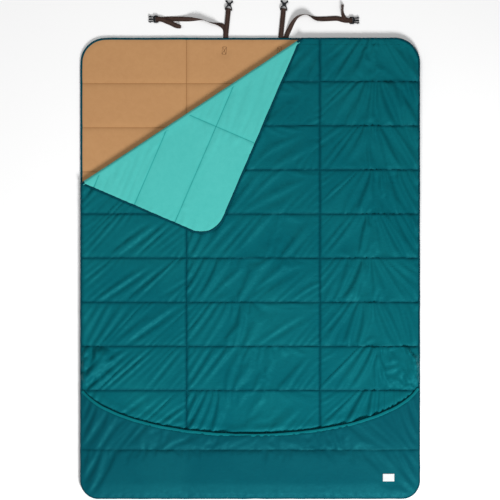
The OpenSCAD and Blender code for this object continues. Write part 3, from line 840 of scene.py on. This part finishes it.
base_rows, cover_rows = rows(BASE_FIRST), rows(COVER_FIRST)
plan, faces, border = cloth_plan(*seam_grid(base_rows, BASE_STEP), lambda x, y: inside(x, y) - EDGE_IN)
flat3 = with_height(plan)
puff = pillow(plan, base_rows)
soft = wander(flat3, 0.06, 21) * 0.00035 + wander(flat3, 0.20, 22) * 0.0003
tan_z = np.minimum(0.0060 + 0.0027 * puff + soft * puff, BASE_TOP)
for side in STRAPS:
    mid = middle_of(f"{side}_box_stitch")
    away = np.hypot(plan[:, 0] - mid.x, plan[:, 1] - mid.y)
    tan_z -= 0.0020 * near(away - 0.016, 0.022)
tan_z[border] = TAN_RIM_Z
shade = seam_shade(plan, base_rows, 0.0022)
tan_points = with_height(plan, tan_z)
tan_sheet = sheet_piece("base_tan_sheet", tan_points, faces, plan, tan_finish, 0.7 * shade)
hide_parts("base_inner_cloth", "base_batting")
tan_surface = surface_of(tan_points, faces)
under_points = with_height(plan, UNDER_RIM_Z - 0.0026 * puff)
under_points[border, 2] = UNDER_RIM_Z
underside = sheet_piece("base_underside_sheet", under_points, faces, plan, shell_finish, shade,
                        flip=True)
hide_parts("base_underside")
under_surface = surface_of(under_points, faces)

# ---- Cover quilt: the part that lies flat ----

SWAY_SEED = 71
SHELL_STITCH = COVER_TOP - SEAM_SINK + 0.0006
LINING_STITCH = COVER_LOW + 0.0030
LYING, TURNED = -1, 1


def cover_plan(side, gap, step=CLOTH_STEP):
    """The plan of the cover on one side of the crease, ending that far short of it."""
    def distance(x, y):
        return np.minimum(inside(x, y) - EDGE_IN, side * beyond_crease(x, y) - gap)
    return cloth_plan(*seam_grid(cover_rows, step), distance)


plan, faces, border = cover_plan(LYING, SHELL_GAP)
flat3 = with_height(plan)
row, cross = seam_distance(plan, cover_rows)
puff = pillow(plan, cover_rows)
to_crease = -beyond_crease(*plan.T)
over_mouth = -below_mouth(*plan.T)
mirrored = plan + 2 * to_crease[:, None] * np.array(CREASE_OUT.xy)
under_flap = np.clip(inside(*mirrored.T) / 0.02 + 1, 0, 1)
open_part = over_mouth[faces].min(axis=1) > -0.04
hidden_rim = np.zeros(len(plan), bool)
hidden_rim[faces[~open_part].ravel()] = True
pinned = border | (row < ON_SEAM) | (cross < ON_SEAM) | hidden_rim
moved = sew(plan, faces[open_part], cover_rows, pinned, shell_lean, 0.022, 1)
# How many times taller the simulated wrinkles are made, across the cover.
fullness = np.interp(plan[:, 0], [-0.7, -0.3, -0.2, 0.25, 0.35, 0.7], [1.9, 1.9, 1.3, 1.2, 1.7, 1.6])
wrinkle = np.clip(moved[:, 2] * fullness, -0.0065, 0.0095)
shell_z = SHELL_STITCH + 0.0040 * puff + wrinkle
bulge = 0.0040 * np.exp(-((over_mouth - 0.022) / 0.018) ** 2) * (puff * 0.7 + 0.3)
dip = 0.0020 * np.exp(-(over_mouth / 0.006) ** 2)
shell_z += bulge - dip
ceiling = COVER_TOP - 0.0002 + 0.011 * (1 - under_flap)
shell_z = np.clip(shell_z, LINING_STITCH + 0.001, ceiling)
for end in (-1, 1):
    dx, dy = plan[:, 0] - end * (HALF_W - 0.060), plan[:, 1] - MOUTH_AT[1] - 0.050
    away = np.hypot(dx, dy)
    fan = 0.5 + 0.5 * np.cos(9 * np.arctan2(dy, dx) + 2.5 * wander(flat3, 0.05, 61))
    mound = 0.0085 * np.exp(-(away / 0.055) ** 2)
    folds = 0.0070 * fan * np.exp(-((away - 0.055) / 0.026) ** 2)
    shell_z += (mound + folds) * (0.25 + 0.75 * puff)
pocketed = over_mouth < 0.004
shell_z[pocketed] = np.minimum(shell_z, inner_level(*plan.T) - 0.0005)[pocketed]
hold = near(to_crease, CREASE_FADE)
shell_z = shell_z * (1 - hold) + (FOLD_Z - CREASE_HALF_T) * hold
shell_z[border & (to_crease > 0.01)] = COVER_RIM_Z
free = smooth(np.minimum(inside(*plan.T) - EDGE_IN, to_crease) / 0.03)[:, None]
swung = moved * (1 - free) + swayed(moved, cover_rows, SWAY_SEED) * free
shell_points = with_height(swung[:, :2], shell_z)
shade = seam_shade(plan, cover_rows)
shell = sheet_piece("cover_shell_sheet", shell_points, faces, plan, shell_finish, shade)
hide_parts("cover_shell", "cover_batting")
shell_surface = surface_of(shell_points, faces)

plan, faces, border = cover_plan(LYING, CREASE_GAP, LINING_STEP)
puff = pillow(plan, cover_rows)
hold = near(-beyond_crease(*plan.T) - CREASE_GAP, CREASE_FADE)
lining_z = LINING_STITCH - (LINING_STITCH - COVER_LOW - 0.0001) * np.maximum(puff, hold)
shade = seam_shade(plan, cover_rows)
lining_points = with_height(plan, lining_z)
lining = sheet_piece("cover_lining_sheet", lining_points, faces, plan, lining_finish, 0.6 * shade,
                     flip=True)
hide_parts("cover_lining")

# ---- Cover quilt: the turned-back corner ----


def corner_lean(x, spots):
    return 0.0022 * wander(spots, 0.25, 31)


plan, faces, border = cover_plan(TURNED, CREASE_GAP)
row, cross = seam_distance(plan, cover_rows)
puff = pillow(plan, cover_rows, 0.04)
from_crease = beyond_crease(*plan.T)
pinned = border | (row < ON_SEAM) | (cross < ON_SEAM)
moved = sew(plan, faces, cover_rows, pinned, corner_lean, 0.0015, 2)
hold = near(from_crease - CREASE_GAP, CREASE_FADE)
low = COVER_LOW + 0.0001
closed_z = LINING_STITCH - 0.0024 * puff + np.clip(moved[:, 2], -0.002, 0.002) * 0.8
closed_z = closed_z * (1 - hold) + low * hold
closed_z = np.maximum(closed_z, low)
closed_z[border & (from_crease > 0.013)] = LINING_STITCH
flap_lining_points = turn_over(with_height(plan, closed_z))
shade = seam_shade(plan, cover_rows, 0.0022)
flap_lining = sheet_piece("corner_lining_sheet", flap_lining_points, faces, plan, lining_finish,
                          0.8 * shade, "turned_corner", flip=True)
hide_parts("corner_lining", "corner_batting")
flap_surface = surface_of(flap_lining_points, faces)

plan, faces, border = cover_plan(TURNED, SHELL_GAP)
row, cross = seam_distance(plan, cover_rows)
puff = pillow(plan, cover_rows)
from_crease = beyond_crease(*plan.T)
pinned = border | (row < ON_SEAM) | (cross < ON_SEAM)
moved = sew(plan, faces, cover_rows, pinned, shell_lean, 0.020, 3)
closed_z = SHELL_STITCH + 0.0036 * puff + np.clip(moved[:, 2] * 1.2, -0.004, 0.004)
hold = near(from_crease, CREASE_FADE)
closed_z = closed_z * (1 - hold) + (FOLD_Z - CREASE_HALF_T) * hold
closed_z = np.minimum(closed_z, COVER_TOP - 0.0001)
closed_z[border & (from_crease > 0.01)] = COVER_RIM_Z
flap_shell_points = turn_over(with_height(moved[:, :2], closed_z))
shade = seam_shade(plan, cover_rows)
flap_shell = sheet_piece("corner_shell_sheet", flap_shell_points, faces, plan, shell_finish, shade,
                         "turned_corner")
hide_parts("corner_shell")
flap_shell_surface = surface_of(flap_shell_points, faces)

# ---- The fold between them ----

CREASE_LEFT = Vector((-HALF_W, HALF_L - 0.603, 0))
CREASE_HEAD = Vector((-HALF_W + 0.916, HALF_L, 0))
CREASE_RUN = (CREASE_HEAD - CREASE_LEFT).length
ALONG = (CREASE_HEAD - CREASE_LEFT).normalized()


def fold_strip(name, profile, from_end, to_end, finish, step=0.008, ripple=0.0):
    """A strip along the crease: profile is distance past the crease and height, from cover to corner."""
    count = max(2, round((CREASE_RUN - from_end - to_end) / step))
    points, uv = [], []
    for i in range(count + 1):
        s = from_end + (CREASE_RUN - from_end - to_end) * i / count
        at = CREASE_LEFT + ALONG * s
        for k, (d, z) in enumerate(profile):
            wave = ripple * noise.noise(Vector((s * 14, k * 0.25, 3)))
            p = at + CREASE_OUT * (d + wave * math.sin(math.pi * k / (len(profile) - 1)))
            points.append((p.x, p.y, z))
            uv.append((s, k * 0.0026))
    m = len(profile)
    starts = [i * m + k for i in range(count) for k in range(m - 1)]
    faces = [(a, a + 1, a + m + 1, a + m) for a in starts]
    piece = dressed(name, points, faces, uv, finish)
    set_attribute(piece, "seam", [0.0] * len(points))
    return piece


def half_ring(at, wide, high, start, end, count):
    """Part of an ellipse round the fold, as distance past the crease and height."""
    turns = np.radians(np.linspace(start, end, count))
    return [(at + wide * math.cos(a), FOLD_Z + high * math.sin(a)) for a in turns]


fold_r = FLAP_TOP - FOLD_Z
roll = half_ring(-0.010, 0.0108, fold_r, -90, 90, 17)
roll = [(-0.0125, roll[0][1] + 0.00015)] + roll + [(-0.0125, roll[-1][1] - 0.00015)]
lining_fold = fold_strip("lining_fold", roll, 0.010, 0.022, lining_finish, 0.008, 0.0008)
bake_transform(lining_fold)
low, high = FOLD_Z - CREASE_HALF_T, FOLD_Z + CREASE_HALF_T
turn = [(-0.007, low), (-0.0015, low), (-0.0004, FOLD_Z), (-0.0015, high), (-0.007, high)]
shell_fold = fold_strip("shell_fold", turn, 0.006, 0.006, shell_finish)
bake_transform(shell_fold)

# ---- Edge tapes ----


def outline(inset, step=0.010):
    """Points round the quilts' outline, that far in from it."""
    out = []
    ends = ((1, 1, HEAD_R), (-1, 1, HEAD_R), (-1, -1, FOOT_R), (1, -1, FOOT_R))
    for quarter, (across, up, r) in enumerate(ends):
        cx, cy = across * (HALF_W - r), up * (HALF_L - r)
        count = max(6, round(r * math.pi / 2 / step))
        for i in range(count + 1):
            a = math.radians(90 * quarter + 90 * i / count)
            out.append((cx + (r - inset) * math.cos(a), cy + (r - inset) * math.sin(a)))
    out.append(out[0])
    path = np.array(out)
    run = run_along(path)
    at = np.linspace(0, run[-1], round(run[-1] / step))[:-1]
    return np.column_stack([np.interp(at, run, path[:, 0]), np.interp(at, run, path[:, 1])])


def tape(name, path, z, half_w, half_h, finish, seed, body="blanket", closed=False, wave=0.0009):
    """A rounded tape along a path in plan; z is one height, or one for each point."""
    n, count, section_power = len(path), 14, 2.6
    z = np.broadcast_to(z, (n,))
    chords = np.roll(path, -1, axis=0) - np.roll(path, 1, axis=0)
    out = right_of(unit(chords) if closed else headings(path))
    shift = wave * wander(with_height(path), 0.05, seed) - 0.5 * wave
    swell = 1 + 0.10 * wander(with_height(path, 1.0), 0.018, seed)
    run = run_along(path)
    points, uv = [], []
    for i in range(n):
        for k in range(count):
            a = 2 * math.pi * k / count
            c, s = math.cos(a), math.sin(a)
            side = math.copysign(abs(c) ** (2 / section_power), c) * half_w * min(swell[i], 1.06)
            up = math.copysign(abs(s) ** (2 / section_power), s) * half_h
            p = path[i] + out[i] * (side + shift[i])
            points.append((p[0], p[1], z[i] + up))
            uv.append((run[i], k * 0.002))
    faces = []
    for i in range(n if closed else n - 1):
        j = (i + 1) % n
        for k in range(count):
            q = (k + 1) % count
            faces.append((i * count + k, j * count + k, j * count + q, i * count + q))
    if not closed:
        faces += [tuple(range(count)), tuple((n - 1) * count + k for k in range(count))[::-1]]
    return dressed(name, points, faces, uv, finish, body)


def edge_tape(name, path, z, half_h, seed, body="blanket", closed=False):
    half_h -= TAPE_CLEAR
    return tape(name, path, z, TAPE_HALF_W, half_h, tape_finish, seed, body, closed)


ring = outline(TAPE_IN)
base_tape = edge_tape("base_edge_tape", ring, BASE_TOP / 2, BASE_TOP / 2, 41, closed=True)
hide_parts("base_binding")
past = beyond_crease(*ring.T)
first = int(np.nonzero((past <= 0.0) & (np.roll(past, 1) > 0.0))[0][0])
ring = np.roll(ring, -first, axis=0)
past = np.roll(past, -first)
lying, turned = ring[past <= 0.0], ring[past > 0.0]
cover_mid = (COVER_LOW + COVER_TOP) / 2
cover_half = (COVER_TOP - COVER_LOW) / 2
cover_tape = edge_tape("cover_edge_tape", lying, cover_mid, cover_half, 42)
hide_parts("cover_binding")
turned_back = turn_over(with_height(turned, cover_mid))
corner_path, corner_z = turned_back[::-1, :2], turned_back[0, 2]
corner_tape = edge_tape("corner_edge_tape", corner_path, corner_z, cover_half, 43, "turned_corner")
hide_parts("corner_binding")
outer = half_ring(-0.0102, 0.0116, fold_r + 0.0006, -90, 90, 13)
loop = outer + half_ring(-0.0102, 0.003, 0.003, 90, -90, 7) + outer[:1]
tape_folds = {"side_tape_fold": (0.001, CREASE_RUN - 0.019), "head_tape_fold": (CREASE_RUN - 0.030, 0.004)}
for name, (near_end, far_end) in tape_folds.items():
    piece = fold_strip(name, loop, near_end, far_end, tape_finish, 0.004)
    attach(piece, "blanket")
    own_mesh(piece)

# ---- Foot pocket ----


def panel_lean(x, spots):
    return 0.012 * np.interp(x, [-0.7, -0.4, 0.4, 0.7], [1, 0.3, -0.3, -1]) + 0.002 * wander(spots, 0.3, 51)


pocket_xs = spaced([-HALF_W + PANEL_IN, HALF_W - PANEL_IN], CLOTH_STEP)
row_stops = [POCKET_ROW - SEAM_SIDE, POCKET_ROW, POCKET_ROW + SEAM_SIDE]
pocket_ys = spaced([-HALF_L + PANEL_IN] + row_stops + [MOUTH_AT[1]], CLOTH_STEP)
plan, faces, border = cloth_plan(pocket_xs, pocket_ys, panel)
row = np.abs(plan[:, 1] - POCKET_ROW)
moved = sew(plan, faces, [POCKET_ROW, POCKET_ROW - ROW_PITCH], border | (row < ON_SEAM), panel_lean, 0.016, 4)
label_mid = middle_of("label")
from_label = np.hypot(plan[:, 0] - label_mid.x, plan[:, 1] - label_mid.y)
moved[:, 2] *= 1 - 0.85 * near(from_label - 0.025, 0.05)
level = panel_level(*plan.T)
edge = inside(*plan.T) - PANEL_IN
side = rise(row, 0.03) * rise(edge, 0.03)
panel_z = level - 0.0022 + 0.0026 * side + np.clip(moved[:, 2], -0.004, 0.005) * 1.1
panel_z = np.minimum(panel_z, PANEL_TOP + 0.003)
inner_z = inner_level(*plan.T)
panel_z = np.maximum(panel_z, inner_z + 0.0010)
panel_z[border] = inner_z[border] + 0.0008
panel_points = with_height(moved[:, :2], panel_z)
# Painted shade along the pocket's quilting row.
shade = np.exp(-(row / 0.003) ** 2) * 0.8
pocket = sheet_piece("pocket_shell_sheet", panel_points, faces, plan, panel_finish, shade)
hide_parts("pocket_shell", "pocket_batting")
panel_surface = surface_of(panel_points, faces)
inner_points = with_height(plan, inner_z)
pocket_inner = sheet_piece("pocket_lining_sheet", inner_points, faces, plan, pocket_shade_finish,
                           shade * 0, flip=True)
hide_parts("pocket_lining")

turns = np.linspace(math.pi + 0.03, 2 * math.pi - 0.03, 190)
mouth = np.column_stack([MOUTH_AT[0] + MOUTH_A * np.cos(turns), MOUTH_AT[1] + MOUTH_B * np.sin(turns)])
footward = right_of(headings(mouth))
middle = mouth + footward * HEM_W / 2
kept = inside(*middle.T) > 0.007
middle = middle[kept]
hem_z = panel_level(*middle.T) - 0.0004
hem_z = hem_z + 0.0006 * wander(with_height(middle), 0.05, 52)
hem = tape("pocket_hem_tape", middle, hem_z, HEM_W / 2, 0.0021, hem_finish, 53, wave=HEM_WAVE)
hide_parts("pocket_hem")
# A dark strip set at the pocket lining's edge above the hem; its dark colour is painted shadow for the gap under
# the hem.
lip = middle - footward[kept] * (HEM_W / 2 + 0.0006)
mouth_shadow_strip = tape("pocket_mouth_shadow_strip", lip, hem_z - 0.0030, 0.0020, 0.0016, pocket_shade_finish, 53,
              wave=HEM_WAVE)
set_attribute(mouth_shadow_strip, "seam", [0.0] * len(mouth_shadow_strip.data.vertices))

# ---- Stitching ----


def dashes(name, lines, surface, body="blanket", finish=thread_teal, down=True,
           pitch=STITCH_PITCH, length=STITCH_L, radius=THREAD_R, only=None):
    """Stitches along lines in plan, lying on a surface."""
    points, faces, uv = [], [], []
    up = 1 if down else -1
    for line in lines:
        line = np.asarray(line, float)
        run = run_along(line)
        for k in range(int(run[-1] / pitch)):
            spots = []
            for s in (k * pitch, k * pitch + length / 2, k * pitch + length):
                x, y = np.interp(s, run, line[:, 0]), np.interp(s, run, line[:, 1])
                z = drop(surface, x, y, down)
                if z is None or (only is not None and not only(x, y)):
                    break
                spots.append(Vector((x, y, z)))
            if len(spots) < 3:
                continue
            ahead = (spots[2] - spots[0]).normalized()
            side = Vector((-ahead.y, ahead.x, 0)).normalized()
            base = len(points)
            for spot, lift, size in zip(spots, (-0.2, 0.7, -0.2), (0.6, 1.0, 0.6)):
                mid = spot + Vector((0, 0, up * radius * lift))
                for a, b in ((1, 0), (0, 1), (-1, 0), (0, -1)):
                    points.append(mid + side * a * radius * size + Vector((0, 0, b * radius * size)))
                    uv.append((k * pitch, 0))
            for ring_at in (0, 4):
                for q in range(4):
                    w = (q + 1) % 4
                    a = base + ring_at
                    faces.append((a + q, a + w, a + 4 + w, a + 4 + q))
            faces += [(base + 3, base + 2, base + 1, base), (base + 8, base + 9, base + 10, base + 11)]
    return dressed(name, points, faces, uv, finish, body)


def quilt_lines(row_ys):
    lines = [[(-HALF_W + LINE_END, y), (HALF_W - LINE_END, y)] for y in row_ys]
    return lines + [[(x, -HALF_L + LINE_END), (x, HALF_L - LINE_END)] for x in CROSS]


def within(extra=lambda x, y: True):
    """Tells whether a point is far enough in from the outline, and where extra says."""
    return lambda x, y: inside(np.float64(x), np.float64(y)) > LINE_END and extra(x, y)


def swayed_lines(row_ys, seed):
    along_x = np.arange(-HALF_W + LINE_END, HALF_W - LINE_END, CLOTH_STEP)
    along_y = np.arange(-HALF_L + LINE_END, HALF_L - LINE_END, CLOTH_STEP)
    lines = [np.column_stack([along_x, y + 0.7 * sway(along_x, y, seed)]) for y in row_ys]
    return lines + [np.column_stack([x + sway(along_y, x, seed), along_y]) for x in CROSS]


shell_lines = quilt_lines(cover_rows)
not_turned = within(lambda x, y: beyond_crease(x, y) < -0.004)
cover_lines = swayed_lines(cover_rows, SWAY_SEED)
stitches = dashes("cover_stitches", cover_lines, shell_surface, only=not_turned)
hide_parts("cover_quilting")
head_line = [[(-HALF_W + 0.1, HALF_L - 0.030), (HALF_W - 0.05, HALF_L - 0.030)]]
dashes("head_topstitch", head_line, shell_surface, only=not_turned)
base_lines = quilt_lines(base_rows)
base_stitches = dashes("base_stitches", base_lines, tan_surface, finish=thread_tan,
                       only=within(lambda x, y: beyond_crease(x, y) > -0.12))
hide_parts("base_quilting")
dashes("underside_stitches", base_lines, under_surface, down=False, pitch=0.0066, length=0.005, only=within())


def turned_line(line):
    line = np.asarray(line)
    count = max(2, round(float(np.linalg.norm(line[1] - line[0])) / 0.01))
    t = np.linspace(0, 1, count)[:, None]
    plan = line[0] * (1 - t) + line[1] * t
    plan = plan[beyond_crease(*plan.T) > 0.002]
    if len(plan) < 2:
        return None
    return turn_over(with_height(plan))[:, :2]


corner_lines = [line for line in map(turned_line, shell_lines) if line is not None]
corner_stitches = dashes("corner_stitches", corner_lines, flap_surface, "turned_corner", thread_aqua)
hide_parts("corner_quilting")
dashes("corner_shell_stitches", corner_lines, flap_shell_surface, "turned_corner", down=False)
pocket_line = [[(-HALF_W + 0.01, POCKET_ROW), (HALF_W - 0.01, POCKET_ROW)]]
pocket_stitches = dashes("pocket_stitches", pocket_line, panel_surface)
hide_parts("pocket_quilting")
hem_line = mouth[kept] + footward[kept] * (HEM_W + 0.0008)
dashes("hem_stitches", [hem_line], panel_surface)
for side in STRAPS:
    across = Vector((math.cos(STRAP_LEAN), -math.sin(STRAP_LEAN)))
    along = Vector((math.sin(STRAP_LEAN), math.cos(STRAP_LEAN)))
    mid = middle_of(f"{side}_box_stitch")
    w, h = 0.0085, 0.0155
    c = [mid + across * a * w + along * b * h for a, b in ((-1, -1), (1, -1), (1, 1), (-1, 1))]
    lines = [[tuple(c[i]), tuple(c[j])] for i, j in ((0, 1), (1, 2), (2, 3), (3, 0), (0, 2), (1, 3))]
    tack = dashes(f"{side}_box_stitches", lines, tan_surface, finish=thread_brown,
                  pitch=0.0030, length=0.0026, radius=0.0007)
    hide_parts(f"{side}_box_stitch")

# ---- Label ----

label_xs = np.linspace(LABEL_LOW.x, LABEL_HIGH.x, 26)
label_ys = np.linspace(LABEL_LOW.y, LABEL_HIGH.y, 18)
below = np.array([[drop(panel_surface, x, y) for y in label_ys] for x in label_xs])
even = below.copy()
for _ in range(12):
    wide = np.pad(even, 1, mode="edge")
    even = (wide[:-2, 1:-1] + wide[2:, 1:-1] + wide[1:-1, :-2] + wide[1:-1, 2:] + 2 * even) / 6
even = np.maximum(even, below) + 0.0010
label_points, label_uv = [], []
for i, x in enumerate(label_xs):
    for j, y in enumerate(label_ys):
        label_points.append((x, y, even[i, j] + 0.0004 * noise.noise(Vector((x * 60, y * 60, 2)))))
        label_uv.append((x, y))
m = len(label_ys)
starts = [i * m + j for i in range(len(label_xs) - 1) for j in range(m - 1)]
label_faces = np.array([(a, a + m, a + m + 1, a + 1) for a in starts])
label = dressed("blank_label", label_points, label_faces.tolist(), label_uv, label_finish, "blanket")
set_attribute(label, "seam", [0.0] * len(label_points))
label.modifiers.new("thickness", "SOLIDIFY").thickness = LABEL_T
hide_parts("label")
label_surface = surface_of(label_points, label_faces)
inset = (0.002, -0.002)
lx, ly = label_xs[[0, -1]] + inset, label_ys[[0, -1]] + inset
frame_line = [[(lx[i], ly[j]) for i, j in ((0, 0), (1, 0), (1, 1), (0, 1), (0, 0))]]
label_stitches = dashes("label_stitches", frame_line, label_surface, finish=thread_white,
                        pitch=0.003, length=0.0024, radius=0.0003)
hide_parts("label_stitching")
